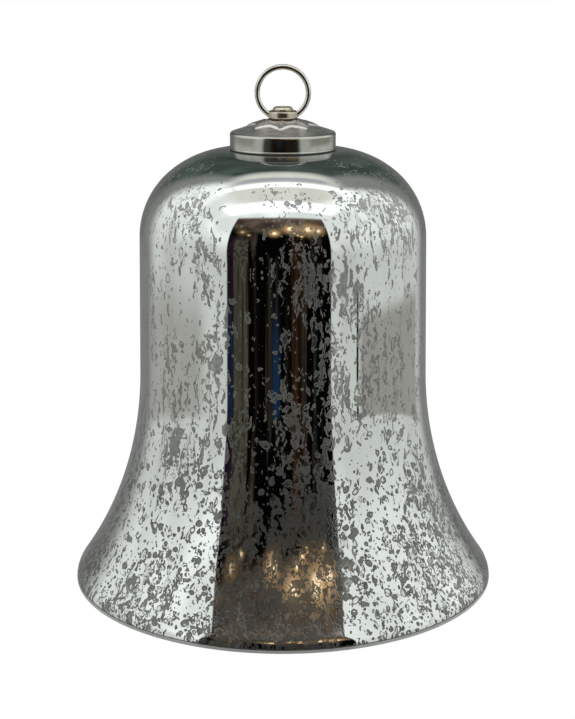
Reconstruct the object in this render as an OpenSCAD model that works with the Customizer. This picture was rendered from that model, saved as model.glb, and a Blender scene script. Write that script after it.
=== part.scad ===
// Large silvered-glass bell with a stamped metal cap, a folding hanging ring and a swinging clapper.
// Millimetres, +Z up. The origin is the centre of the rim, on the plane that the bell stands on.

/* [Glass bell] */
// Diameter across the rim
rim_d = 165; // [150:1:180]
// Thickness of the blown wall
wall = 2.4; // [1.8:0.1:3.2]
// Outer radius of the rounded lip
lip_r = 8.2; // [5:0.1:10]
// Radius of the sweep from the lip up to the waist
flare_r = 140; // [125:1:160]
// Diameter where the flare meets the waist
waist_d = 111.2; // [106:0.2:116]
// How far the waist narrows towards the top, in degrees
waist_taper = 1; // [0:0.1:2]
// Height of the straight waist
waist_len = 53; // [42:0.2:60]
// Radius of the lower part of the shoulder
shoulder_r = 32; // [28:0.5:36]
// Angle at which the upper part of the shoulder takes over
shoulder_turn = 51; // [40:1:60]
// Radius of the upper part of the shoulder
upper_shoulder_r = 37.2; // [36.5:0.1:42]
// Diameter of the blowpipe hole under the cap
neck_hole_d = 12; // [9:0.5:14]
// Thickness of the silvering with its backing lacquer
silver_t = 0.3; // [0.2:0.05:0.5]
// Height of the clear glass left along the rim
clear_lip_h = 1.8; // [1.2:0.1:6]

/* [Cap] */
// Diameter of the cap's band
cap_d = 39.9; // [36:0.1:44]
// Height from the cap's lower edge to its flat top
cap_h = 10.5; // [9:0.1:12]
// Slope of the cap's dome in degrees
cap_slope = 18.2; // [12:0.1:24]
// Thickness of the stamped sheet
cap_t = 0.6; // [0.4:0.1:1]
// Radius of the edge between band and dome
cap_edge_r = 1; // [0.7:0.1:1.5]
// Radius of the rolled bead along the lower edge
cap_bead_r = 0.45; // [0.3:0.05:0.6]
// Points of the embossed star
star_points = 8; // [5:1:12]
// Radius at the star's tips
star_tip_r = 13.6; // [11:0.1:16]
// Radius between the star's tips
star_valley_r = 10.8; // [9:0.1:11]
// Height of the embossing
star_relief = 0.35; // [0.2:0.05:0.5]

/* [Hanger] */
// Diameter of the boss that carries the ring
boss_d = 11.3; // [10:0.1:12]
// Height of the boss
boss_h = 2.9; // [2.6:0.1:3.2]
// Distance between the floors of the boss's two drilled slots
boss_flats = 9.8; // [9:0.1:10]
// Diameter of the screw's round head
head_d = 7.7; // [7:0.1:8]
// Height of the screw's head
head_h = 1.45; // [1.2:0.05:2]
// Diameter of the screw's shank
shank_d = 3; // [2.5:0.1:3.2]
// Outside diameter of the hanging ring
ring_d = 21.2; // [20.8:0.1:22]
// Diameter of the ring's wire
wire_d = 2; // [1.8:0.05:2.2]
// Diameter of the ring's two end pins
ring_pin_d = 1.7; // [1.4:0.05:1.8]
// Radial clearance of the end pins in their holes
pin_gap = 0.05; // [0.02:0.01:0.1]

/* [Clapper] */
// Diameter of the clapper's ball
ball_d = 22; // [18:0.5:24]
// Height of the ball's centre above the rim
ball_z = 26; // [22:1:40]
// Diameter of the clapper's rod
rod_d = 1.8; // [1.6:0.1:2.2]
// Mean radius of the eye under the crown
eye_r = 4; // [3.6:0.1:5]
// Mean radius of the link between the eye and the rod
link_r = 3.6; // [3.4:0.1:4.5]
// Mean radius of the loop at the top of the rod
loop_r = 3; // [2.8:0.1:3.5]

/* [Hidden] */
$fn = 96;
eps = 0.01;

// Unit vector at an angle in the section plane
function dir(a) = [cos(a), sin(a)];

// Glass section: centres and tangent points of its arcs, on the outer surface
lip_c = [rim_d / 2 - lip_r, 0];
waist_n = dir(waist_taper);
flare_x = waist_d / 2 + flare_r * waist_n[0];
flare_c = [flare_x, sqrt(pow(flare_r + lip_r, 2) - pow(flare_x - lip_c[0], 2))];
lip_turn = atan2(flare_c[1] - lip_c[1], flare_c[0] - lip_c[0]);
waist_low = flare_c - flare_r * waist_n;
waist_top = waist_low + waist_len * [-waist_n[1], waist_n[0]];
shoulder_c = waist_top - shoulder_r * waist_n;
upper_c = shoulder_c - (upper_shoulder_r - shoulder_r) * dir(shoulder_turn);
crown_z = upper_c[1] + upper_shoulder_r;

// Heights of the cap and its hanger, stacked on the crown
gasket_t = 0.5;
cap_z = crown_z + gasket_t;
seat_z = cap_z + cap_h;
seat_r = 6.2;
star_base_r = star_tip_r + 3;
star_turn = -94;
boss_washer_t = 0.55;
boss_washer_inset = 0.35;
boss_z = seat_z + boss_washer_t;
head_z = boss_z + boss_h;
pivot_z = boss_z + 0.52 * boss_h;
shank_gap = 0.1;
shank_hole_d = shank_d + 2 * shank_gap;

// Ring: an open wire circle, cut flat in the boss's slots, with a pin on each cut end
ring_r = (ring_d - wire_d) / 2;
flat_gap = 0.1;
wire_end_x = boss_flats / 2 + flat_gap;
wire_entry_x = wire_end_x + 0.3;
ring_z = pivot_z + sqrt(pow(ring_r, 2) - pow(wire_entry_x, 2));
pin_depth = 2.1;
pin_end = boss_flats / 2 - pin_depth;

// Clamp stack under the crown
inner_crown_z = crown_z - wall;
inner_gasket_t = 1.6;
inner_gasket_r = 9;
inner_collar_h = 1.6;
washer_t = 1;
washer_r = 8;
lock_t = 0.8;
nut_t = 2.4;
nut_af = 5.5;
washer_z = inner_crown_z - inner_gasket_t - washer_t;
lock_z = washer_z - lock_t;
nut_z = lock_z - nut_t;
eye_body_r = 2.8;
eye_body_h = 4;
eye_body_z = nut_z - eye_body_h;
shank_in_eye = 2.6;
shank_end_z = nut_z - shank_in_eye;

// Clapper: eye, link and rod hang in each other with a small gap
eye_wire_r = 0.9;
link_wire_r = 0.7;
hang_gap = 0.1;
eye_sink = 0.4;
eye_z = eye_body_z - eye_r + eye_sink;
link_axis_z = eye_z - eye_r;
link_z = link_axis_z + eye_wire_r + hang_gap + link_wire_r - link_r;
rod_axis_z = link_z - link_r;
loop_z = rod_axis_z + link_wire_r + hang_gap + rod_d / 2 - loop_r;
ball_flat_low = 0.1;
ball_flat_high = 0.2;
collar_t = 1;
collar_r = 2.6;
collar_z = ball_z + ball_d / 2 - ball_flat_high;
clapper_nut_h = 4.5;
clapper_nut_af = 5.5;
clapper_nut_z = ball_z - ball_d / 2 + ball_flat_low - clapper_nut_h;
rod_end_z = clapper_nut_z + 1.5;

// Part of a disc between two angles, in the section plane
module sector(centre, r, a0, a1) {
    reach = 1.5 * r;
    intersection() {
        translate(centre) circle(r, $fn = 360);
        polygon([centre, centre + reach * dir(a0), centre + reach * dir((a0 + a1) / 2),
                 centre + reach * dir(a1)]);
    }
}

// Half section of everything inside the glass surface that lies at depth t under the outer one
// (each smaller arc laps a little into its neighbour)
module bell_section(t) {
    lap = 4;
    lip_end = lip_c + (lip_r - t) * dir(lip_turn);
    difference() {
        polygon([[0, 0], lip_c, lip_end, waist_low - t * waist_n, waist_top - t * waist_n,
                 shoulder_c + lap * dir(30), upper_c + lap * dir(70), [0, upper_c[1] + lap]]);
        translate(flare_c) circle(flare_r + t, $fn = 360);
    }
    sector(lip_c, lip_r - t, 0, lip_turn + lap);
    sector(shoulder_c, shoulder_r - t, waist_taper - lap, shoulder_turn + lap);
    sector(upper_c, upper_shoulder_r - t, shoulder_turn, 90);
    translate([0, upper_c[1] - 1]) square([upper_c[0], upper_shoulder_r + 1 - t]);
}

// Round bar bent into a full circle around the Y axis
module wire_ring(r, wire_r) {
    rotate([90, 0, 0]) rotate_extrude() translate([r, 0]) circle(wire_r, $fn = 32);
}

// Disc with rounded edges, standing on z = 0
module round_disc(r, h, edge) {
    rotate_extrude() {
        square([r - edge, h]);
        translate([0, edge]) square([r, h - 2 * edge]);
        for (z = [edge, h - edge]) translate([r - edge, z]) circle(edge, $fn = 32);
    }
}

// Hexagonal prism with the given width across its flats
module hexagon(af, h) {
    cylinder(h = h, r = af / 2 / cos(30), $fn = 6);
}

// Flat ring
module washer(r_out, r_in, h) {
    difference() {
        cylinder(h = h, r = r_out);
        translate([0, 0, -1]) cylinder(h = h + 2, r = r_in);
    }
}

module glass_bell() {
    color("lightsteelblue") difference() {
        rotate_extrude() difference() {
            bell_section(0);
            bell_section(wall);
        }
        translate([0, 0, inner_crown_z - 5]) cylinder(h = 10 + wall, d = neck_hole_d);
    }
}

// The silvering covers the inside from just above the rim to the clamp stack
module silver_lining() {
    color("silver") rotate_extrude() intersection() {
        difference() {
            bell_section(wall);
            bell_section(wall + silver_t);
        }
        translate([inner_gasket_r + 0.5, clear_lip_h]) square([rim_d, crown_z]);
    }
}

// Thin soft ring that keeps the cap's edge off the glass
module cap_gasket() {
    color("black") translate([0, 0, crown_z]) washer(cap_d / 2, cap_d / 2 - 2.2, gasket_t);
}

// Half section of the cap's outer form, or of its hollow at depth t
module cap_section(t) {
    lap = 4;
    edge_c = [cap_d / 2 - cap_edge_r, seat_z - cap_edge_r / cos(cap_slope)
              - (cap_d / 2 - cap_edge_r - seat_r) * tan(cap_slope)];
    normal = [sin(cap_slope), cos(cap_slope)];
    polygon([[0, cap_z], [cap_d / 2 - t, cap_z], [cap_d / 2 - t, edge_c[1]], edge_c,
             edge_c + (cap_edge_r - t) * normal, [seat_r - t * tan(cap_slope / 2), seat_z - t],
             [0, seat_z - t]]);
    sector(edge_c, cap_edge_r - t, -lap, 90 - cap_slope + lap);
}

module star_outline() {
    step = 360 / star_points;
    polygon([for (i = [0 : star_points - 1], tip = [0, 1])
             (tip == 0 ? star_tip_r : star_valley_r) * dir((i + tip / 2) * step + star_turn)]);
}

module cap() {
    star_drop = (star_base_r - seat_r) * tan(cap_slope) - star_relief;
    color("gainsboro") difference() {
        union() {
            rotate_extrude() {
                cap_section(0);
                translate([cap_d / 2 - 0.2, cap_z + cap_bead_r]) circle(cap_bead_r, $fn = 32);
            }
            intersection() {
                translate([0, 0, cap_z + 1]) linear_extrude(cap_h) star_outline();
                translate([0, 0, seat_z - star_drop])
                    cylinder(h = star_drop, r1 = star_base_r,
                             r2 = seat_r + star_relief / tan(cap_slope));
            }
        }
        translate([0, 0, -eps]) rotate_extrude() cap_section(cap_t);
        translate([0, 0, cap_z]) cylinder(h = 2 * cap_h, d = shank_hole_d);
    }
}

module boss_washer() {
    color("dimgray") translate([0, 0, seat_z])
        washer(boss_d / 2 - boss_washer_inset, shank_hole_d / 2, boss_washer_t);
}

// Turned boss with two upright slots, each drilled for one end of the ring
module boss() {
    slot_w = 1.65 * wire_d;
    color("silver") difference() {
        translate([0, 0, boss_z]) round_disc(boss_d / 2, boss_h, 0.8);
        translate([0, 0, boss_z - 1]) cylinder(h = boss_h + 2, d = shank_hole_d);
        for (side = [-1, 1]) {
            translate([side * (boss_flats / 2 + 2) - 2, -slot_w / 2, boss_z - 1])
                cube([4, slot_w, boss_h + 2]);
            translate([side * (pin_end - flat_gap), 0, pivot_z]) rotate([0, side * 90, 0])
                cylinder(h = 5, r = ring_pin_d / 2 + pin_gap, $fn = 48);
        }
    }
}

// Round-headed screw that clamps the whole stack through the crown
module cap_screw() {
    head_r = head_d / 2;
    top_z = head_z + head_h;
    dish = 0.15;
    color("silver") rotate_extrude() {
        polygon([[0, head_z], [head_r - 0.3, head_z], [head_r, head_z + 0.3], [head_r, head_z + 0.6],
                 [head_r - 0.5, top_z - 0.1], [head_r - 0.8, top_z], [head_r - 1.1, top_z],
                 [head_r - 1.3, top_z - dish], [0, top_z - dish]]);
        translate([0, shank_end_z]) square([shank_d / 2, head_z - shank_end_z + eps]);
    }
}

// Wire circle that is open between the boss's flats, with a pin on each end
module hanging_ring() {
    gap_low = ring_z - ring_r - wire_d;
    color("silver") {
        difference() {
            translate([0, 0, ring_z]) wire_ring(ring_r, wire_d / 2);
            translate([-wire_end_x, -wire_d, gap_low])
                cube([2 * wire_end_x, 2 * wire_d, pivot_z + wire_d - gap_low]);
        }
        for (side = [-1, 1]) translate([side * pin_end, 0, pivot_z]) rotate([0, side * 90, 0])
            cylinder(h = wire_entry_x + 0.2 - pin_end, d = ring_pin_d, $fn = 48);
    }
}

// Soft washer with a collar that centres the screw in the blowpipe hole
module inner_gasket() {
    color("dimgray") difference() {
        union() {
            translate([0, 0, inner_crown_z - inner_gasket_t])
                cylinder(h = inner_gasket_t, r = inner_gasket_r);
            translate([0, 0, inner_crown_z - 1])
                cylinder(h = inner_collar_h + 1, d = neck_hole_d - 2 * shank_gap);
        }
        translate([0, 0, inner_crown_z - 5]) cylinder(h = 10, d = shank_hole_d);
    }
}

module inner_washer() {
    color("lightgray") translate([0, 0, washer_z]) washer(washer_r, shank_hole_d / 2, washer_t);
}

// Split spring washer
module lock_washer() {
    color("gray") translate([0, 0, lock_z]) difference() {
        washer(3, shank_hole_d / 2, lock_t);
        translate([0, -0.35, -1]) cube([5, 0.7, lock_t + 2]);
    }
}

module clamp_nut() {
    color("lightgray") difference() {
        translate([0, 0, nut_z]) hexagon(nut_af, nut_t);
        translate([0, 0, nut_z - 1]) cylinder(h = nut_t + 2, d = shank_d);
    }
}

// Nut with an eye that carries the clapper
module eye_nut() {
    color("lightgray") difference() {
        union() {
            translate([0, 0, eye_body_z]) cylinder(h = eye_body_h, r = eye_body_r);
            translate([0, 0, eye_z]) wire_ring(eye_r, eye_wire_r);
        }
        translate([0, 0, shank_end_z]) cylinder(h = 10, d = shank_d);
    }
}

module clapper_link() {
    color("silver") translate([0, 0, link_z]) rotate([0, 0, 90]) wire_ring(link_r, link_wire_r);
}

// Straight rod with a closed loop at its top, down through the ball into its nut
module clapper_rod() {
    color("silver") {
        translate([0, 0, loop_z]) wire_ring(loop_r, rod_d / 2);
        translate([0, 0, rod_end_z])
            cylinder(h = loop_z - loop_r - rod_end_z, d = rod_d, $fn = 48);
    }
}

module clapper_collar() {
    color("silver") translate([0, 0, collar_z]) washer(collar_r, rod_d / 2, collar_t);
}

module clapper_ball() {
    color("lightgray") difference() {
        intersection() {
            translate([0, 0, ball_z]) sphere(d = ball_d);
            translate([0, 0, ball_z - ball_d / 2 + ball_flat_low])
                cylinder(h = ball_d - ball_flat_low - ball_flat_high, r = ball_d);
        }
        translate([0, 0, ball_z - ball_d]) cylinder(h = 2 * ball_d, d = rod_d + 0.1, $fn = 48);
    }
}

// Domed nut that holds the ball up
module clapper_nut() {
    dome_r = clapper_nut_af / 2 - 0.1;
    color("silver") difference() {
        union() {
            translate([0, 0, clapper_nut_z + clapper_nut_h / 2])
                hexagon(clapper_nut_af, clapper_nut_h / 2);
            intersection() {
                translate([0, 0, clapper_nut_z + dome_r]) sphere(dome_r, $fn = 64);
                translate([0, 0, clapper_nut_z]) cylinder(h = clapper_nut_h, d = clapper_nut_af);
            }
        }
        translate([0, 0, rod_end_z]) cylinder(h = clapper_nut_h, d = rod_d, $fn = 48);
    }
}

glass_bell();
silver_lining();
cap_gasket();
cap();
boss_washer();
boss();
cap_screw();
hanging_ring();
inner_gasket();
inner_washer();
lock_washer();
clamp_nut();
eye_nut();
clapper_link();
clapper_rod();
clapper_collar();
clapper_ball();
clapper_nut();
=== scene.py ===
import math

import bmesh
import bpy
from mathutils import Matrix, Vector


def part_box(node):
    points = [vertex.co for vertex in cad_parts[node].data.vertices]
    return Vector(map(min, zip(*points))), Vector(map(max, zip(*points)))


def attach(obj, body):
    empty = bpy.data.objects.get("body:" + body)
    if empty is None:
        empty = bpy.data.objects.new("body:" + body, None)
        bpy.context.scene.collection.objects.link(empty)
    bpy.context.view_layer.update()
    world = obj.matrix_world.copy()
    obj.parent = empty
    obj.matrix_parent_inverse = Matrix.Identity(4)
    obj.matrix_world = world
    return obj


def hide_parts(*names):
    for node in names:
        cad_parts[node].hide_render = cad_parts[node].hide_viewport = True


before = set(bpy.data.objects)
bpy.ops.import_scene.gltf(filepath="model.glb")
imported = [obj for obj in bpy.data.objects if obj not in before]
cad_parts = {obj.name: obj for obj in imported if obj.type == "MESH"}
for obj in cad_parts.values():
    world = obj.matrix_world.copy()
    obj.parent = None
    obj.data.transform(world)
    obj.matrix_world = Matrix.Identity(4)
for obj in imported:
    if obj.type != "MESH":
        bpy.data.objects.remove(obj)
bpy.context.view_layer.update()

MM = 0.001

# ---------------------------------------------------------------- sizes, in millimetres
RIM_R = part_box("glass_bell")[1].x / MM
CROWN_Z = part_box("glass_bell")[1].z / MM
WALL = 2.4
LIP_R = 8.2
FLARE_R = 140.0
WAIST_R = 55.6
WAIST_TAPER = 1.0
WAIST_LEN = 53.0
SHOULDER_R = 32.0
SHOULDER_TURN = 51.0
UPPER_R = 37.2
HOLE_R = 6.0
CROWN_RINGS = (16.0, 12.0, 9.0, HOLE_R)
SILVER_T = 0.3
SILVER_GAP = 0.03
CLEAR_LIP = 1.8
SEEN_LIP = 1.1
LINING_HOLE_R = 9.5

CAP_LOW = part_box("cap")[0].z / MM
SEAT_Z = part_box("cap")[1].z / MM
BEAD_OUT = 0.25
CAP_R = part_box("cap")[1].x / MM - BEAD_OUT
CAP_SLOPE = 18.2
CAP_EDGE_R = 1.0
CAP_SHEET = 0.6
SEAT_R = 6.2
WIRE_R = 1.0
WIRE_END_X = 5.0
RING_PIN_R = 0.85
PIN_DEPTH = 2.1
PIN_INSET = 0.3
SHANK_HOLE_R = 1.6
BEAD_R = 0.45
BEAD_DROP = 0.3
STAR_POINTS = 8
STAR_TURN = -94.0
STAR_TIP_R = 13.6
STAR_VALLEY_R = 10.8
STAR_RELIEF = 0.63
CREASE_DEPTH = 0.26
LOBE_DEPTH = 0.42
FLOOR_Z = -0.02
FLOOR_RINGS = (0.5, 60.0, 120.0, 240.0, 360.0, 480.0)

# ---------------------------------------------------------------- fineness of the meshes
SHELL_SIDES = 224
LINING_SIDES = 192
CAP_SIDES = 320
FLOOR_SIDES = 96
WIRE_SIDES = 28
WIRE_STEPS = 220
DOME_STEPS = 84
OUTER_STEP = 1.2
LINING_STEP = 1.8
INNER_STEP = 2.4

# ---------------------------------------------------------------- zones of wear, in millimetres
# a run is measured along the wall from the rim, x and y are measured from the bell's axis
FOOT_RUN = (92.0, 42.0)
CROWN_RUN = (160.0, 188.0)
WORN_X = (18.0, 54.0)
BRIGHT_X = (-28.0, 16.0)
ZONE_SOFT = 8.0

# ---------------------------------------------------------------- camera
CAMERA_PLACE = Vector((0.00175, -0.5984, 0.2407))
CAMERA_DOWN = 14.47
CAMERA_LENS = 79.22
CAMERA_SENSOR = 36.0


# ---------------------------------------------------------------- node helper
class Net:
    """Short ways to add nodes to one material or world."""

    def __init__(self, tree):
        self.tree = tree

    def put(self, socket, value):
        if isinstance(value, bpy.types.NodeSocket):
            self.tree.links.new(value, socket)
        elif value is not None:
            socket.default_value = value

    def node(self, kind, **settings):
        made = self.tree.nodes.new(kind)
        for key, value in settings.items():
            setattr(made, key, value)
        return made

    def math(self, op, a, b=None, clamp=False):
        n = self.node("ShaderNodeMath", operation=op, use_clamp=clamp)
        self.put(n.inputs[0], a)
        self.put(n.inputs[1], b)
        return n.outputs[0]

    def mul(self, *values):
        out = values[0]
        for v in values[1:]:
            out = self.math("MULTIPLY", out, v)
        return out

    def add(self, *values):
        out = values[0]
        for v in values[1:]:
            out = self.math("ADD", out, v)
        return out

    def sub(self, a, b):
        return self.math("SUBTRACT", a, b)

    def high(self, a, b):
        return self.math("MAXIMUM", a, b)

    def ramp(self, x, low, high, a=0.0, b=1.0):
        n = self.node("ShaderNodeMapRange", interpolation_type="SMOOTHSTEP")
        for socket, value in zip(n.inputs, (x, low, high, a, b)):
            self.put(socket, value)
        return n.outputs[0]

    def band(self, x, low, high, soft):
        return self.mul(self.ramp(x, self.sub(low, soft), self.add(low, soft)),
                        self.ramp(x, self.add(high, soft), self.sub(high, soft)))

    def mix(self, share, a, b):
        n = self.node("ShaderNodeMix", data_type="RGBA")
        self.put(n.inputs[0], share)
        self.put(n.inputs[6], a)
        self.put(n.inputs[7], b)
        return n.outputs[2]

    def vector(self, x, y, z):
        n = self.node("ShaderNodeCombineXYZ")
        for socket, value in zip(n.inputs, (x, y, z)):
            self.put(socket, value)
        return n.outputs[0]

    def parts(self, vector):
        n = self.node("ShaderNodeSeparateXYZ")
        self.put(n.inputs[0], vector)
        return n.outputs

    def vmath(self, op, a, b):
        n = self.node("ShaderNodeVectorMath", operation=op)
        self.put(n.inputs[0], a)
        self.put(n.inputs[1], b)
        return n.outputs[0]

    def noise(self, vector, scale, detail=2.0, rough=0.5):
        n = self.node("ShaderNodeTexNoise")
        self.put(n.inputs["Vector"], vector)
        n.inputs["Scale"].default_value = scale
        n.inputs["Detail"].default_value = detail
        n.inputs["Roughness"].default_value = rough
        return n

    def cloud(self, vector, scale, detail=2.0, rough=0.5):
        return self.noise(vector, scale, detail, rough).outputs["Fac"]

    def cells(self, vector, scale, spread=1.0):
        n = self.node("ShaderNodeTexVoronoi", feature="F1")
        self.put(n.inputs["Vector"], vector)
        n.inputs["Scale"].default_value = scale
        n.inputs["Randomness"].default_value = spread
        return n

    def flow(self):
        """Where a point lies on a turned piece: x, y and the run along the wall, in millimetres."""
        return self.node("ShaderNodeAttribute", attribute_name="flow").outputs["Vector"]

    def object_mm(self):
        at = self.node("ShaderNodeTexCoord").outputs["Object"]
        return self.vmath("MULTIPLY", at, (1 / MM, 1 / MM, 1 / MM))

    def drawn_out(self, vector, share):
        """Shortens the third part of a place, which draws a texture out that way."""
        return self.vmath("MULTIPLY", vector, (1.0, 1.0, share))

    def length(self, a, b):
        return self.math("SQRT", self.add(self.mul(a, a), self.mul(b, b)))

    def bump(self, height, strength, distance):
        n = self.node("ShaderNodeBump")
        self.put(n.inputs["Height"], height)
        n.inputs["Strength"].default_value = strength
        n.inputs["Distance"].default_value = distance
        return n.outputs[0]


def rgb(r, g, b):
    return (r, g, b, 1.0)


def new_material(name):
    made = bpy.data.materials.new(name)
    made.use_nodes = True
    return made, Net(made.node_tree), made.node_tree.nodes["Principled BSDF"]


# ---------------------------------------------------------------- profiles of the glass
def turned(angle):
    return math.cos(math.radians(angle)), math.sin(math.radians(angle))


def arc(centre, radius, a0, a1, step):
    count = max(2, math.ceil(abs(math.radians(a1 - a0)) * radius / step))
    turns = [turned(a0 + (a1 - a0) * i / count) for i in range(count + 1)]
    return [(centre[0] + radius * tx, centre[1] + radius * ty) for tx, ty in turns]


def straight(start, end, count):
    """Points from start to end, without the start."""
    (x0, y0), (x1, y1) = start, end
    return [(x0 + (x1 - x0) * i / count, y0 + (y1 - y0) * i / count) for i in range(1, count + 1)]


def bell_profile(depth, step=OUTER_STEP):
    """Radius and height, from the rim to the crown's edge, of the surface that lies at a depth
    under the outer one."""
    lip = (RIM_R - LIP_R, 0.0)
    nx, ny = turned(WAIST_TAPER)
    flare_x = WAIST_R + FLARE_R * nx
    flare_z = math.sqrt((FLARE_R + LIP_R) ** 2 - (flare_x - lip[0]) ** 2)
    lip_turn = math.degrees(math.atan2(flare_z - lip[1], flare_x - lip[0]))
    low = (flare_x - FLARE_R * nx, flare_z - FLARE_R * ny)
    top = (low[0] - WAIST_LEN * ny, low[1] + WAIST_LEN * nx)
    shoulder = (top[0] - SHOULDER_R * nx, top[1] - SHOULDER_R * ny)
    sx, sy = turned(SHOULDER_TURN)
    back = UPPER_R - SHOULDER_R
    upper = (shoulder[0] - back * sx, shoulder[1] - back * sy)
    points = arc(lip, LIP_R - depth, 0, lip_turn, step * 0.4)
    points += arc((flare_x, flare_z), FLARE_R + depth, 180 + lip_turn, 180 + WAIST_TAPER, step)[1:]
    end = (shoulder[0] + (SHOULDER_R - depth) * nx, shoulder[1] + (SHOULDER_R - depth) * ny)
    points += straight(points[-1], end, math.ceil(WAIST_LEN / (2 * step)))[:-1]
    points += arc(shoulder, SHOULDER_R - depth, WAIST_TAPER, SHOULDER_TURN, step)
    points += arc(upper, UPPER_R - depth, SHOULDER_TURN, 90, step)[1:]
    return points


def run_lengths(points):
    out = [0.0]
    for a, b in zip(points, points[1:]):
        out.append(out[-1] + math.dist(a, b))
    return out


# ---------------------------------------------------------------- mesh helpers
def as_object(name, bm):
    bmesh.ops.recalc_face_normals(bm, faces=bm.faces)
    mesh = bpy.data.meshes.new(name)
    bm.to_mesh(mesh)
    bm.free()
    mesh.polygons.foreach_set("use_smooth", [True] * len(mesh.polygons))
    made = bpy.data.objects.new(name, mesh)
    bpy.context.scene.collection.objects.link(made)
    return made


def turned_rows(bm, rings, segments, lift):
    """Vertices of (radius, height, run) rows turned round Z, with their place in "flow"."""
    flow = bm.verts.layers.float_vector.new("flow")
    rows = []
    for r, z, run in rings:
        row = []
        for i in range(segments):
            a = 2 * math.pi * i / segments
            height = z + (lift(r, a, z) if lift else 0.0)
            v = bm.verts.new((r * math.cos(a) * MM, r * math.sin(a) * MM, height * MM))
            v[flow] = Vector((r * math.cos(a), r * math.sin(a), run))
            row.append(v)
        rows.append(row)
    return rows


def lathe(name, rings, segments, closed=True, lift=None):
    """Turns (radius, height, run) rows into a skin, whose last row joins the first if closed."""
    bm = bmesh.new()
    uv = bm.loops.layers.uv.new("turned")
    rows = turned_rows(bm, rings, segments, lift)
    span = max(run for _, _, run in rings) or 1.0
    for k in range(len(rows) if closed else len(rows) - 1):
        after = (k + 1) % len(rows)
        a_row, b_row = rows[k], rows[after]
        a_run, b_run = rings[k][2] / span, rings[after][2] / span
        for i in range(segments):
            j = (i + 1) % segments
            face = bm.faces.new((a_row[i], a_row[j], b_row[j], b_row[i]))
            corners = ((i, a_run), (i + 1, a_run), (i + 1, b_run), (i, b_run))
            for loop, (u, v) in zip(face.loops, corners):
                loop[uv].uv = (u / segments, v)
    return as_object(name, bm)


def skin(bm, loops):
    """Joins a row of loops into a tube with flat ends."""
    sides = len(loops[0])
    for one, two in zip(loops, loops[1:]):
        for k in range(sides):
            j = (k + 1) % sides
            bm.faces.new((one[k], one[j], two[j], two[k]))
    bm.faces.new(loops[0])
    bm.faces.new(list(reversed(loops[-1])))


def sharpen(obj, angle=40.0):
    """Marks the corners of a turned piece sharp, so that flats and arcs shade apart."""
    obj.data.set_sharp_from_angle(angle=math.radians(angle))


def place(obj, body, material, slot, *nodes):
    obj.data.materials.append(material)
    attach(obj, body)
    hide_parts(*nodes)
    return obj


def paint(node, material):
    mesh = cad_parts[node].data
    mesh.materials.clear()
    mesh.materials.append(material)


# ---------------------------------------------------------------- materials
def blobs(net, place_at, scale, size, spread, keep):
    """Spots, one in each cell that is kept: how far inside its edge a point lies, and the cell's
    chance."""
    cell = net.cells(place_at, scale)
    chance = net.parts(cell.outputs["Color"])
    radius = net.add(size, net.mul(chance[0], spread))
    kept = net.ramp(chance[1], net.sub(keep, 0.02), net.add(keep, 0.02), 1.0, 0.0)
    inside = net.sub(net.mul(radius, kept), cell.outputs["Distance"])
    return inside, chance[2]


def wear_amount(net, place_at, crown, front, patch):
    """How much silver is gone: more at the front of the foot and up on the right, less high up
    in the middle, least on the crown."""
    x, y, run = place_at
    gone = net.add(0.120, net.mul(0.15, patch), net.mul(0.06, front))
    heavy = net.mul(net.band(x, *WORN_X, ZONE_SOFT), net.ramp(run, 118.0, 145.0), 0.045)
    light = net.mul(net.band(x, *BRIGHT_X, ZONE_SOFT), net.ramp(run, 138.0, 158.0),
                    net.ramp(y, 0.0, -8.0), 0.07)
    return net.sub(net.add(gone, heavy), net.add(light, net.mul(crown, 0.13)))


def eaten_runs(net, drawn, half, gone, foot):
    """Drawn-out runs and eaten edges, as contours of two clouds."""
    cloud = net.cloud(drawn, 0.48, 2.0, 0.45)
    runs = net.mul(net.sub(cloud, net.sub(0.715, gone)), 11.0)
    runs = net.sub(runs, net.mul(foot, 0.45))
    fine = net.cloud(net.vmath("ADD", half, (31.0, 7.0, 5.0)), 0.58, 2.0, 0.5)
    eaten = net.mul(net.sub(fine, net.sub(0.72, gone)), 8.0)
    eaten = net.sub(eaten, net.sub(0.42, net.mul(foot, 0.45)))
    return net.high(runs, eaten)


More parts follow.
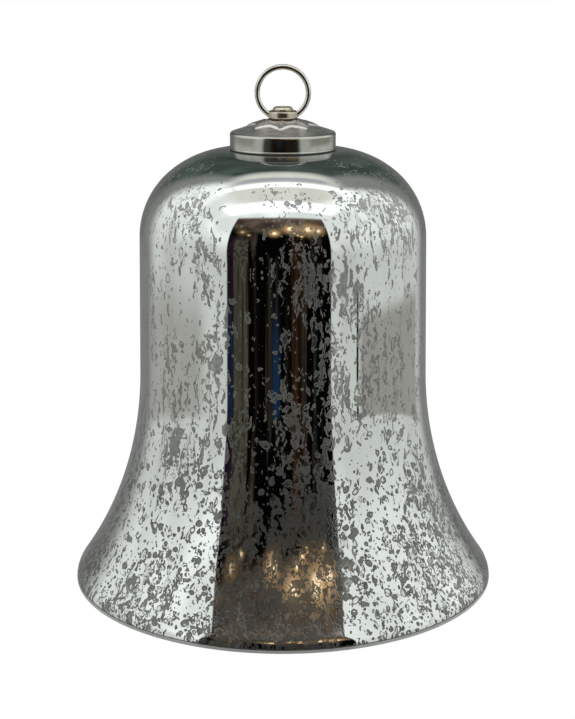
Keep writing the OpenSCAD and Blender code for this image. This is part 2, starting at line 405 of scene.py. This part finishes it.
def worn_patches(net, flow, place_at, front):
    """Where silver is gone: depth inside a spot's edge, how much of a spot's middle has stayed
    silvered, and how far a point belongs to the foot."""
    run = place_at[2]
    middle = (0.5, 0.5, 0.5)
    wander = net.vmath("SUBTRACT", net.noise(flow, 0.16, 2.0).outputs["Color"], middle)
    fray = net.vmath("SUBTRACT", net.noise(flow, 0.9, 2.0).outputs["Color"], middle)
    soft = net.vmath("ADD", flow, net.vmath("MULTIPLY", wander, (3.0, 3.0, 3.0)))
    shifted = net.vmath("ADD", flow, net.vmath("MULTIPLY", wander, (5.0, 5.0, 5.0)))
    shifted = net.vmath("ADD", shifted, net.vmath("MULTIPLY", fray, (0.6, 0.6, 1.0)))
    drawn = net.drawn_out(shifted, 0.19)
    half = net.drawn_out(shifted, 0.38)
    patch = net.cloud(net.drawn_out(flow, 0.4), 0.050, 3.0)
    patch = net.sub(net.ramp(patch, 0.36, 0.64), 0.5)
    foot = net.ramp(run, *FOOT_RUN)
    crown = net.ramp(run, *CROWN_RUN)
    gone = wear_amount(net, place_at, crown, front, patch)
    # drops and dots as cells
    share = net.mul(gone, 2.4)
    round_at = net.vmath("ADD", soft, net.vmath("MULTIPLY", fray, middle))
    round_at = net.drawn_out(round_at, 0.85)
    drop_share = net.add(0.10, net.mul(foot, net.add(0.74, net.mul(patch, 0.4))))
    drops, chance = blobs(net, round_at, 0.34, 0.18, 0.40,
                          net.mul(drop_share, net.sub(1.0, crown)))
    small, small_chance = blobs(net, net.vmath("ADD", round_at, (9.0, 4.0, 2.0)), 0.62, 0.14, 0.34,
                                net.mul(net.add(share, net.mul(foot, 0.28)), 0.9))
    streaks, streak_chance = blobs(net, drawn, 0.50, 0.10, 0.36, net.mul(share, 1.5))
    dots, _ = blobs(net, half, 1.15, 0.06, 0.34, net.mul(share, net.add(0.6, net.mul(foot, 0.4))))
    drops = net.high(net.mul(drops, 2.8), net.mul(small, 2.0))
    thin = net.high(net.mul(streaks, 1.9), dots)
    depth = net.high(eaten_runs(net, drawn, half, gone, foot), net.high(drops, thin))
    some = net.ramp(net.high(chance, net.high(small_chance, streak_chance)), 0.80, 0.88)
    kept = net.mul(net.ramp(depth, 0.40, 0.55), some, 0.9)
    return depth, kept, foot


def silver_edge(net):
    """Where there is silver above the clear lip, and the dark line along its end."""
    height = net.parts(net.node("ShaderNodeTexCoord").outputs["Object"])[2]
    silver = net.ramp(height, (SEEN_LIP - 0.1) * MM, (SEEN_LIP + 0.1) * MM)
    line = net.mul(silver, net.ramp(height, (SEEN_LIP + 0.5) * MM, (SEEN_LIP + 0.25) * MM))
    return silver, line


def worn_colour(net, foot, mottle, outline):
    """What shows where silver is gone: dark along a spot's edge, paler in its middle."""
    # painted shade: the spots' pale middles are painted darker towards the foot
    pale = net.mix(foot, rgb(0.47, 0.465, 0.44), rgb(0.21, 0.205, 0.19))
    dirty = net.mix(0.6, pale, rgb(0.10, 0.10, 0.095))
    worn = net.mix(net.ramp(mottle, 0.32, 0.68), dirty, pale)
    # painted shade: the spots' dark rims are also painted darker towards the foot
    rim_tone = net.mix(foot, rgb(0.29, 0.285, 0.265), rgb(0.066, 0.062, 0.056))
    return net.mix(net.mul(outline, 0.9), worn, rim_tone)


def mirror_colour(net, flow, dull):
    tint = net.cloud(net.drawn_out(flow, 0.3), 0.09, 3.0)
    mirror = net.mix(net.ramp(tint, 0.35, 0.70), rgb(0.88, 0.89, 0.88), rgb(0.80, 0.805, 0.785))
    # where dull is high, round the cap, the mirror is painted darker: painted shade
    return net.mix(dull, mirror, rgb(0.22, 0.235, 0.225))


def silvered_glass():
    """Mirror seen through clear glass, spotted and streaked where the silver is gone, with a
    clear lip."""
    made, net, bsdf = new_material("silvered_glass")
    flow = net.flow()
    x, y, run = net.parts(flow)
    front = net.mul(net.ramp(y, -36.0, -62.0), net.ramp(net.math("ABSOLUTE", x), 46.0, 20.0),
                    net.ramp(run, 70.0, 34.0))
    depth, kept, foot = worn_patches(net, flow, (x, y, run), front)
    silver, edge_line = silver_edge(net)
    bare = net.mul(net.ramp(depth, -0.02, 0.06), net.sub(1.0, kept))
    bare = net.high(bare, edge_line)
    outline = net.mul(net.ramp(depth, -0.06, 0.05), net.ramp(depth, 0.44, 0.20))
    outline = net.high(outline, edge_line)
    mottle = net.cloud(flow, 1.3, 4.0, 0.65)
    # painted shade round the cap: the mirror's colour is painted darker there, to dim the cap's
    # reflection in the crown; it is also less metallic and rougher
    dull = net.mul(net.ramp(net.length(x, y), 37.0, 27.0), net.ramp(run, 160.0, 175.0))
    colour = net.mix(bare, mirror_colour(net, flow, dull), worn_colour(net, foot, mottle, outline))
    net.put(bsdf.inputs["Base Color"], net.mix(silver, rgb(0.80, 0.82, 0.81), colour))
    # worn places are still a little mirror-like, except along their edges
    stays = net.sub(net.ramp(foot, 0.0, 1.0, 0.50, 0.52), net.mul(outline, 0.42))
    metal = net.sub(1.0, net.mul(bare, net.sub(1.0, stays)))
    net.put(bsdf.inputs["Metallic"], net.mul(silver, net.sub(metal, net.mul(dull, 0.15))))
    rough = net.add(0.02, net.mul(bare, 0.13), net.mul(dull, 0.10))
    net.put(bsdf.inputs["Roughness"], rough)
    net.put(bsdf.inputs["Transmission Weight"], net.mul(net.sub(1.0, silver), 0.2))
    bsdf.inputs["IOR"].default_value = 1.5
    bsdf.inputs["Coat Weight"].default_value = 0.7
    bsdf.inputs["Coat Roughness"].default_value = 0.015
    bsdf.inputs["Coat IOR"].default_value = 1.5
    waves = net.cloud(net.drawn_out(flow, 0.4), 0.055, 2.0)
    surface = net.add(net.mul(waves, net.add(0.18, net.mul(foot, 0.4))), net.mul(bare, -0.05),
                      net.mul(mottle, net.mul(bare, 0.04)))
    net.put(bsdf.inputs["Normal"], net.bump(surface, 0.35, 0.00035))
    return made


def lacquer():
    """The dull grey back of the silvering, as seen inside the bell."""
    made, net, bsdf = new_material("lacquer_back")
    flow = net.flow()
    runs = net.cloud(net.drawn_out(flow, 0.2), 0.12, 4.0, 0.6)
    specks = net.cloud(flow, 0.9, 3.0, 0.7)
    colour = net.mix(net.ramp(runs, 0.35, 0.65), rgb(0.26, 0.265, 0.26), rgb(0.40, 0.40, 0.385))
    colour = net.mix(net.ramp(specks, 0.60, 0.68), colour, rgb(0.15, 0.145, 0.135))
    net.put(bsdf.inputs["Base Color"], colour)
    net.put(bsdf.inputs["Metallic"], net.ramp(runs, 0.3, 0.7, 0.25, 0.6))
    net.put(bsdf.inputs["Roughness"], net.ramp(specks, 0.3, 0.7, 0.34, 0.5))
    net.put(bsdf.inputs["Normal"], net.bump(net.add(runs, net.mul(specks, 0.4)), 0.25, 0.0003))
    return made


def plated(name, colour, worn, roughness, grain, brushed=(1.0, 1.0, 1.0)):
    """Plated metal: a clean colour with duller patches, fine scratches and a little orange peel."""
    made, net, bsdf = new_material(name)
    at_mm = net.object_mm()
    cloud = net.cloud(at_mm, 0.35, 4.0, 0.55)
    lines = net.cloud(net.vmath("MULTIPLY", at_mm, brushed), grain, 3.0, 0.6)
    net.put(bsdf.inputs["Base Color"], net.mix(net.ramp(cloud, 0.42, 0.72), colour, worn))
    bsdf.inputs["Metallic"].default_value = 1.0
    dull = net.add(roughness, net.mul(net.ramp(cloud, 0.4, 0.75), 0.08), net.mul(lines, 0.05))
    net.put(bsdf.inputs["Roughness"], dull)
    net.put(bsdf.inputs["Normal"], net.bump(net.add(lines, net.mul(cloud, 2.0)), 0.12, 0.00006))
    return made


def cap_nickel():
    """Nickel-plated sheet: a bright band and a satin dome."""
    made, net, bsdf = new_material("nickel_sheet")
    at = net.object_mm()
    x, y, _ = net.parts(at)
    dome = net.ramp(net.length(x, y), CAP_R - 0.15, CAP_R - 0.9)
    cloud = net.cloud(at, 0.30, 4.0, 0.6)
    grain = net.cloud(at, 2.2, 4.0, 0.7)
    # painted light: the dome's colour is painted paler and warmer than the band's, though both are
    # one nickel sheet
    clean = net.mix(dome, rgb(0.58, 0.57, 0.52), rgb(0.86, 0.80, 0.78))
    tone = net.mix(net.ramp(cloud, 0.42, 0.75), clean, rgb(0.52, 0.50, 0.46))
    net.put(bsdf.inputs["Base Color"], tone)
    bsdf.inputs["Metallic"].default_value = 1.0
    net.put(bsdf.inputs["Roughness"], net.add(0.14, net.mul(dome, 0.22), net.mul(grain, 0.06)))
    net.put(bsdf.inputs["Normal"], net.bump(net.add(grain, net.mul(cloud, 2.0)), 0.16, 0.00006))
    return made


def dark_solid(name, colour, dusty, roughness, grain):
    """Rubber or fibre: matte, with dust and a fine grain."""
    made, net, bsdf = new_material(name)
    at_mm = net.object_mm()
    dust = net.cloud(at_mm, 0.5, 4.0, 0.6)
    fine = net.cloud(at_mm, grain, 2.0, 0.6)
    net.put(bsdf.inputs["Base Color"], net.mix(net.ramp(dust, 0.45, 0.75), colour, dusty))
    net.put(bsdf.inputs["Roughness"], net.ramp(fine, 0.2, 0.8, roughness - 0.1, roughness + 0.1))
    net.put(bsdf.inputs["Normal"], net.bump(fine, 0.3, 0.00008))
    return made


# ---------------------------------------------------------------- pieces
def glass_shell():
    outer = bell_profile(0.0)
    inner = bell_profile(WALL, INNER_STEP)
    runs, inner_runs = run_lengths(outer), run_lengths(inner)
    rings = [(r, z, s) for (r, z), s in zip(outer, runs)]
    crown = [(r, CROWN_Z, runs[-1] + outer[-1][0] - r) for r in CROWN_RINGS]
    under = [(r, CROWN_Z - WALL, s) for r, _, s in reversed(crown)]
    back = [(r, z, s) for (r, z), s in zip(reversed(inner), reversed(inner_runs))]
    made = lathe("glass_shell", rings + crown + under + back, SHELL_SIDES)
    sharpen(made)
    return place(made, "bell", silvered_glass(), "glass", "glass_bell")


def silver_coat():
    """The lining, a hair inside the glass so that the two never share a face."""
    def side(depth):
        points = bell_profile(depth, LINING_STEP)
        runs = run_lengths(points)
        kept = [(r, z, s) for (r, z), s in zip(points, runs)
                if z > CLEAR_LIP and r > LINING_HOLE_R]
        lip = next(i for i, (r, z) in enumerate(points) if z > CLEAR_LIP)
        (r0, z0), (r1, z1) = points[lip - 1], points[lip]
        share = (CLEAR_LIP - z0) / (z1 - z0)
        first = (r0 + (r1 - r0) * share, CLEAR_LIP, runs[lip - 1])
        last = (LINING_HOLE_R, CROWN_Z - depth, runs[-1] + points[-1][0] - LINING_HOLE_R)
        return [first] + kept + [last]
    outer = side(WALL + SILVER_GAP)
    inner = side(WALL + SILVER_T)
    made = lathe("silver_coat", outer + list(reversed(inner)), LINING_SIDES)
    sharpen(made)
    return place(made, "bell", lacquer(), "silvering", "silver_lining")


def star_edge(a):
    """Radius of the star's outline in direction a."""
    step = 2 * math.pi / STAR_POINTS
    off = (a - math.radians(STAR_TURN)) % step
    off = min(off, step - off)
    tip = Vector((STAR_TIP_R, 0.0))
    valley = Vector((math.cos(step / 2), math.sin(step / 2))) * STAR_VALLEY_R
    along = valley - tip
    ray = Vector((math.cos(off), math.sin(off)))
    return (tip.x * along.y - tip.y * along.x) / (ray.x * along.y - ray.y * along.x)


def smooth(x):
    x = max(0.0, min(1.0, x))
    return x * x * (3 - 2 * x)


def star_lift(r, a, z):
    """Height of the soft embossing: a star with a crease down each point, and small lobes round
    the boss."""
    if z < SEAT_Z - 4.6 or r < SEAT_R or r > STAR_TIP_R + 2:
        return 0.0
    step = 2 * math.pi / STAR_POINTS
    off = (a - math.radians(STAR_TURN)) % step
    off = min(off, step - off) / (step / 2)
    edge = star_edge(a)
    star = STAR_RELIEF * smooth((edge - r) / 0.9 + 0.5)
    crease = CREASE_DEPTH * (1 - smooth(off / 0.35)) * smooth((r - 8.4) / 1.5)
    crease *= smooth((edge - r) / 0.8)
    lobes = LOBE_DEPTH * smooth(off / 0.8) * smooth((9.6 - r) / 1.4)
    fade = smooth((r - SEAT_R) / 0.7)
    return (star - crease - lobes) * fade


def cap_outline():
    """The cap's section from inside its lower edge, over the bead, band and dome, and back."""
    slope = math.radians(CAP_SLOPE)
    edge = (CAP_R - CAP_EDGE_R, SEAT_Z - CAP_EDGE_R / math.cos(slope)
            - (CAP_R - CAP_EDGE_R - SEAT_R) * math.tan(slope))
    bead = (CAP_R + BEAD_OUT - BEAD_R, CAP_LOW + BEAD_R - BEAD_DROP)
    points = [(CAP_R - CAP_SHEET, CAP_LOW + 0.15), (CAP_R - CAP_SHEET + 0.1, CAP_LOW)]
    points += arc(bead, BEAD_R, -80, 62, 0.08)
    points += [(CAP_R, CAP_LOW + 1.1), (CAP_R, CAP_LOW + 1.4), (CAP_R, edge[1] - 0.3)]
    # a fine raised line ends the band
    points += [(CAP_R + 0.07, edge[1] - 0.12), (CAP_R + 0.07, edge[1] + 0.06)]
    points += arc(edge, CAP_EDGE_R, 12, 90 - CAP_SLOPE, 0.12)
    points += straight(points[-1], (SEAT_R, SEAT_Z), DOME_STEPS)
    points += [(5.0, SEAT_Z), (3.0, SEAT_Z), (SHANK_HOLE_R, SEAT_Z)]
    points += [(SHANK_HOLE_R, SEAT_Z - CAP_SHEET), (SEAT_R, SEAT_Z - CAP_SHEET - 0.05)]
    return points + arc(edge, CAP_EDGE_R - CAP_SHEET, 90 - CAP_SLOPE, 0, 0.2)


def stamped_cap():
    points = cap_outline()
    rings = [(r, z, s) for (r, z), s in zip(points, run_lengths(points))]
    made = lathe("stamped_cap", rings, CAP_SIDES, lift=star_lift)
    sharpen(made, 50)
    return place(made, "bell", cap_nickel(), "nickel_sheet", "cap")


def wire_ring():
    """The ring swept as one round wire, cut flat at both ends, with a pin on each end inside the
    boss."""
    low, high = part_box("hanging_ring")
    reach = (high[0] - low[0]) / 2 / MM
    centre = high[2] / MM - reach
    middle = reach - WIRE_R
    pin_z = centre - math.sqrt(middle ** 2 - (WIRE_END_X + PIN_INSET) ** 2)
    bm = bmesh.new()
    turns = [2 * math.pi * k / WIRE_SIDES for k in range(WIRE_SIDES)]

    def vert(x, y, z):
        return bm.verts.new((x * MM, y * MM, z * MM))

    def wire_loop(share):
        loop = []
        for t in turns:
            radius = middle + WIRE_R * math.cos(t)
            gap = math.asin(WIRE_END_X / radius)
            a = gap + (2 * math.pi - 2 * gap) * share
            x, z = radius * math.sin(a), centre - radius * math.cos(a)
            loop.append(vert(x, WIRE_R * math.sin(t), z))
        return loop

    def pin_loop(x):
        return [vert(x, RING_PIN_R * math.sin(t), pin_z + RING_PIN_R * math.cos(t)) for t in turns]

    skin(bm, [wire_loop(i / WIRE_STEPS) for i in range(WIRE_STEPS + 1)])
    for side in (-1, 1):
        ends = (WIRE_END_X - PIN_DEPTH, WIRE_END_X + PIN_INSET)
        skin(bm, [pin_loop(side * x) for x in ends])
    made = as_object("wire_ring", bm)
    sharpen(made, 50)
    bright = plated("bright_ring", rgb(0.80, 0.77, 0.72), rgb(0.64, 0.60, 0.55), 0.14, 0.25)
    return place(made, "ring", bright, "bright_wire", "hanging_ring")


def hardware():
    """Materials for the pieces that show their CAD shape."""
    turned_nickel = plated("nickel_turned", rgb(0.68, 0.61, 0.50), rgb(0.52, 0.45, 0.36), 0.24, 1.2,
                           (0.2, 0.2, 3.0))
    bright = plated("bright_wire", rgb(0.74, 0.73, 0.71), rgb(0.60, 0.57, 0.53), 0.07, 1.0)
    zinc = plated("zinc_steel", rgb(0.55, 0.56, 0.57), rgb(0.42, 0.42, 0.41), 0.30, 2.0,
                  (1.0, 1.0, 0.2))
    ball = plated("clapper_metal", rgb(0.72, 0.72, 0.73), rgb(0.60, 0.60, 0.61), 0.16, 1.0)
    rubber = dark_solid("black_rubber", rgb(0.045, 0.045, 0.043), rgb(0.09, 0.088, 0.082), 0.65,
                        4.0)
    fibre = dark_solid("dark_fibre", rgb(0.050, 0.040, 0.030), rgb(0.085, 0.072, 0.058), 0.75, 6.0)
    finishes = ((turned_nickel, ("boss", "cap_screw", "clapper_nut")),
                (bright, ("clapper_link", "clapper_rod")),
                (zinc, ("inner_washer", "lock_washer", "clamp_nut", "eye_nut", "clapper_collar")),
                (ball, ("clapper_ball",)),
                (rubber, ("cap_gasket", "inner_gasket")),
                (fibre, ("boss_washer",)))
    for material, nodes in finishes:
        for node in nodes:
            paint(node, material)


# ---------------------------------------------------------------- studio
SIDE_WHITE = rgb(1.06, 1.12, 1.10)
SIDE_WHITE_LOW = rgb(0.60, 0.635, 0.61)
EDGE_WHITE = rgb(0.50, 0.52, 0.49)
EDGE_GREY = rgb(0.215, 0.22, 0.215)
LOW_GREY = rgb(0.33, 0.325, 0.30)
CEILING = rgb(0.74, 0.75, 0.68)
LAMP = rgb(1.35, 1.4, 1.45)
BACK_GREEN = rgb(0.040, 0.058, 0.048)
DOOR_DARK = rgb(0.0012, 0.0012, 0.0014)
BOARD_LOW = -9.0
# the dark opening's sides and top, and its upright stripes: from and to in degrees to the right
# of straight ahead, colour, strength
OPENING_SIDES = (-44.0, 38.0)
OPENING_TOP = 48.5
STRIPES = ((-38.5, -27.0, rgb(0.075, 0.070, 0.052), 1.0),
           (-43.5, -39.0, rgb(0.024, 0.012, 0.026), 0.8),
           (7.0, 12.0, rgb(0.046, 0.020, 0.009), 0.9),
           (15.0, 17.0, rgb(0.060, 0.030, 0.013), 0.7),
           (24.0, 26.0, rgb(0.03, 0.034, 0.024), 0.6))
# warm lights: degrees to the right, degrees up, size in degrees, power
LIGHTS = ((-7.0, 27.0, 4.5, 1.8), (6.5, 33.0, 6.0, 1.9), (9.0, 27.0, 1.5, 2.6),
          (13.0, 24.5, 1.8, 2.8), (15.5, 22.5, 1.4, 2.4), (22.0, 31.0, 8.5, 1.4),
          (30.0, 28.0, 5.5, 1.3), (27.0, 21.0, 1.4, 2.0), (-28.0, 23.0, 1.8, 0.9),
          (-34.0, 26.0, 4.0, 0.5))


def back_board(net, room, direction, az, el):
    cloth = net.cloud(direction, 5.0, 4.0)
    green = net.mix(net.ramp(cloth, 0.35, 0.7), BACK_GREEN, rgb(0.075, 0.105, 0.09))
    green = net.mix(net.ramp(el, -5.0, 28.0), rgb(0.165, 0.17, 0.162), green)
    behind = net.ramp(net.math("ABSOLUTE", az), 138.0, 152.0)
    return net.mix(net.mul(behind, net.band(el, BOARD_LOW, 60.0, 3.0)), room, green)


def side_boards(net, room, direction, az, el):
    right_end = net.sub(143.0, net.mul(net.high(el, 0.0), 0.45))
    sides = net.mul(net.ramp(az, -137.0, -118.0),
                    net.ramp(az, net.add(right_end, 4.0), net.sub(right_end, 14.0)))
    folds = net.cloud(net.drawn_out(direction, 0.6), 2.2, 1.0)
    high_up = net.ramp(el, BOARD_LOW, 22.0)
    white = net.mix(high_up, SIDE_WHITE_LOW, SIDE_WHITE)
    folded = net.mix(high_up, EDGE_WHITE, SIDE_WHITE_LOW)
    white = net.mix(net.mul(net.ramp(folds, 0.40, 0.60), 0.5), white, folded)
    return net.mix(sides, room, white)


def ceiling(net, room, direction, el):
    """A pale ceiling with two rows of lamps, laid out on the plane one unit overhead."""
    dx, dy, dz = net.parts(direction)
    up = net.high(dz, 0.02)
    across = net.math("DIVIDE", dx, up)
    ahead = net.math("DIVIDE", net.mul(dy, -1.0), up)
    room = net.mix(net.ramp(el, 56.0, 66.0), room, CEILING)
    haze = net.mul(net.band(ahead, -0.36, -0.24, 0.03), net.ramp(el, 60.0, 68.0))
    room = net.mix(haze, room, rgb(0.42, 0.44, 0.47))
    gaps = net.math("PINGPONG", net.add(across, 0.45), 0.5)
    bars = net.ramp(gaps, 0.0, 0.05, 0.35, 1.0)
    overhead = net.ramp(dz, 0.5, 0.7)
    near_row = net.mul(net.band(ahead, 0.34, 0.66, 0.05), net.band(across, -0.85, 0.80, 0.08), bars,
                       overhead)
    far_row = net.mul(net.band(ahead, -0.20, -0.08, 0.03), net.band(across, -0.7, 0.7, 0.08), bars,
                      overhead)
    return net.mix(net.high(near_row, far_row), room, LAMP)


def below_horizon(net, room, az, el):
    sway = net.cloud(net.vector(net.mul(az, 0.045), 4.0, 1.0), 1.0, 0.0)
    low_edge = net.add(-11.6, net.mul(sway, 1.6))
    low_right = net.mul(net.ramp(el, low_edge, net.sub(low_edge, 0.8)),
                        net.band(az, 63.0, 132.0, 3.0))
    low_left = net.mul(net.ramp(el, -9.5, -12.0), net.band(az, -130.0, -66.0, 9.0), 0.8)
    room = net.mix(net.high(low_right, low_left), room, LOW_GREY)
    seam = net.mul(net.band(az, 59.6, 61.4, 0.3), net.band(el, -13.6, -10.2, 0.15))
    return net.mix(seam, room, rgb(0.012, 0.012, 0.012))


def studio_room(net, direction):
    """What stands round the bell, by direction only: white boards left and right, lamps overhead,
    a dark opening in front with a few warm lights, a dark green board behind, grey in between."""
    dx, dy, dz = net.parts(direction)
    az = net.math("DEGREES", net.math("ARCTAN2", dx, net.mul(dy, -1.0)))
    el = net.math("DEGREES", net.math("ARCSINE", dz))
    room = net.mix(net.ramp(el, 20.0, 60.0), EDGE_GREY, rgb(0.25, 0.27, 0.26))
    room = back_board(net, room, direction, az, el)
    room = side_boards(net, room, direction, az, el)
    room = ceiling(net, room, direction, el)
    room = below_horizon(net, room, az, el)
    return net.mix(opening_mask(net, az, el), room, opening(net, az, el, direction))


def opening_mask(net, az, el):
    """The opening's outline, with a gently arched top."""
    arch = net.math("POWER", net.math("ABSOLUTE", net.add(az, 3.0)), 2.0)
    top = net.sub(OPENING_TOP, net.mul(arch, 0.0035))
    return net.mul(net.band(az, *OPENING_SIDES, 0.6),
                   net.ramp(el, net.add(top, 1.5), net.sub(top, 2.5)))


def opening_stripes(net, az, el):
    streak_at = net.vector(net.mul(az, 0.16), net.mul(el, 0.022), 3.0)
    streak = net.cloud(streak_at, 1.0, 4.0, 0.6)
    colour = net.mix(net.ramp(streak, 0.52, 0.72), DOOR_DARK, rgb(0.050, 0.040, 0.030))
    broken = net.cloud(net.vector(net.mul(az, 0.4), net.mul(el, 0.25), 8.0), 1.0, 4.0, 0.6)
    broken = net.ramp(broken, 0.36, 0.60, 0.25, 1.0)
    for low, high, tone, share in STRIPES:
        band = net.mul(net.band(az, low, high, 0.8), share, net.ramp(el, 24.0, 12.0), broken)
        colour = net.mix(band, colour, tone)
    blue = net.high(net.band(az, -43.5, -39.5, 0.7), net.band(az, -8.0, -2.0, 1.2))
    blue = net.mul(blue, net.ramp(el, -10.0, -12.5), broken)
    return net.mix(blue, colour, rgb(0.007, 0.024, 0.056))


def opening(net, az, el, direction):
    """The dark opening: upright stripes in brown, olive and blue, and warm lights with halos."""
    colour = opening_stripes(net, az, el)
    # the wall above is brown and lit from below by the lights
    wall = net.mix(net.ramp(net.cloud(direction, 7.0, 4.0, 0.6), 0.35, 0.65),
                   rgb(0.040, 0.030, 0.022), rgb(0.120, 0.090, 0.066))
    wall = net.mix(net.ramp(el, 38.0, 47.0), wall, rgb(0.13, 0.098, 0.070))
    colour = net.mix(net.ramp(el, 23.0, 34.0), colour, wall)
    for at_az, at_el, size, power in LIGHTS:
        near = net.length(net.mul(net.sub(az, at_az), 0.86), net.sub(el, at_el))
        halo = net.math("POWER", net.ramp(near, size * 1.9, 0.0), 2.0)
        core = net.ramp(near, size * 0.45, size * 0.2)
        colour = net.mix(net.mul(halo, min(1.0, power * 0.42)), colour, rgb(0.95, 0.60, 0.28))
        colour = net.mix(net.mul(core, min(1.0, power * 0.5)), colour, rgb(1.5, 1.2, 0.8))
    return colour


def make_world():
    world = bpy.data.worlds.new("studio")
    bpy.context.scene.world = world
    world.use_nodes = True
    world.node_tree.nodes.clear()
    net = Net(world.node_tree)
    direction = net.node("ShaderNodeTexCoord").outputs["Generated"]
    seen = net.node("ShaderNodeLightPath").outputs["Is Camera Ray"]
    back = net.node("ShaderNodeBackground")
    net.put(back.inputs["Color"], net.mix(seen, studio_room(net, direction), rgb(1.0, 1.0, 1.0)))
    out = net.node("ShaderNodeOutputWorld")
    net.put(out.inputs["Surface"], back.outputs[0])


def make_floor():
    """A plain white floor for the camera above it. It is clear from below and does not show in
    the mirror."""
    rings = [(r, FLOOR_Z, r) for r in FLOOR_RINGS]
    floor = lathe("floor", rings, FLOOR_SIDES, closed=False)
    if floor.data.polygons[0].normal.z < 0:
        floor.data.flip_normals()
    made = bpy.data.materials.new("floor_pale")
    made.use_nodes = True
    made.node_tree.nodes.clear()
    net = Net(made.node_tree)
    seen = net.node("ShaderNodeLightPath").outputs["Is Camera Ray"]
    under = net.node("ShaderNodeNewGeometry").outputs["Backfacing"]
    light = net.node("ShaderNodeEmission")
    light.inputs["Color"].default_value = rgb(1.0, 1.0, 1.0)
    clear = net.node("ShaderNodeBsdfTransparent")
    pick = net.node("ShaderNodeMixShader")
    net.put(pick.inputs[0], net.mul(seen, net.sub(1.0, under)))
    net.put(pick.inputs[1], clear.outputs[0])
    net.put(pick.inputs[2], light.outputs[0])
    out = net.node("ShaderNodeOutputMaterial")
    net.put(out.inputs["Surface"], pick.outputs[0])
    floor.data.materials.append(made)
    return floor


def make_camera():
    data = bpy.data.cameras.new("camera")
    data.lens = CAMERA_LENS
    data.sensor_width = CAMERA_SENSOR
    data.clip_start, data.clip_end = 0.02, 20.0
    camera = bpy.data.objects.new("camera", data)
    bpy.context.scene.collection.objects.link(camera)
    camera.location = CAMERA_PLACE
    camera.rotation_euler = (math.radians(90 - CAMERA_DOWN), 0.0, 0.0)
    bpy.context.scene.camera = camera


def set_view():
    scene = bpy.context.scene
    scene.view_settings.view_transform = "Standard"
    scene.view_settings.look = "None"
    scene.view_settings.exposure = 0.0
    scene.view_settings.gamma = 1.0
    scene.cycles.use_denoising = True


glass_shell()
silver_coat()
stamped_cap()
wire_ring()
hardware()
make_world()
make_floor()
make_camera()
set_view()
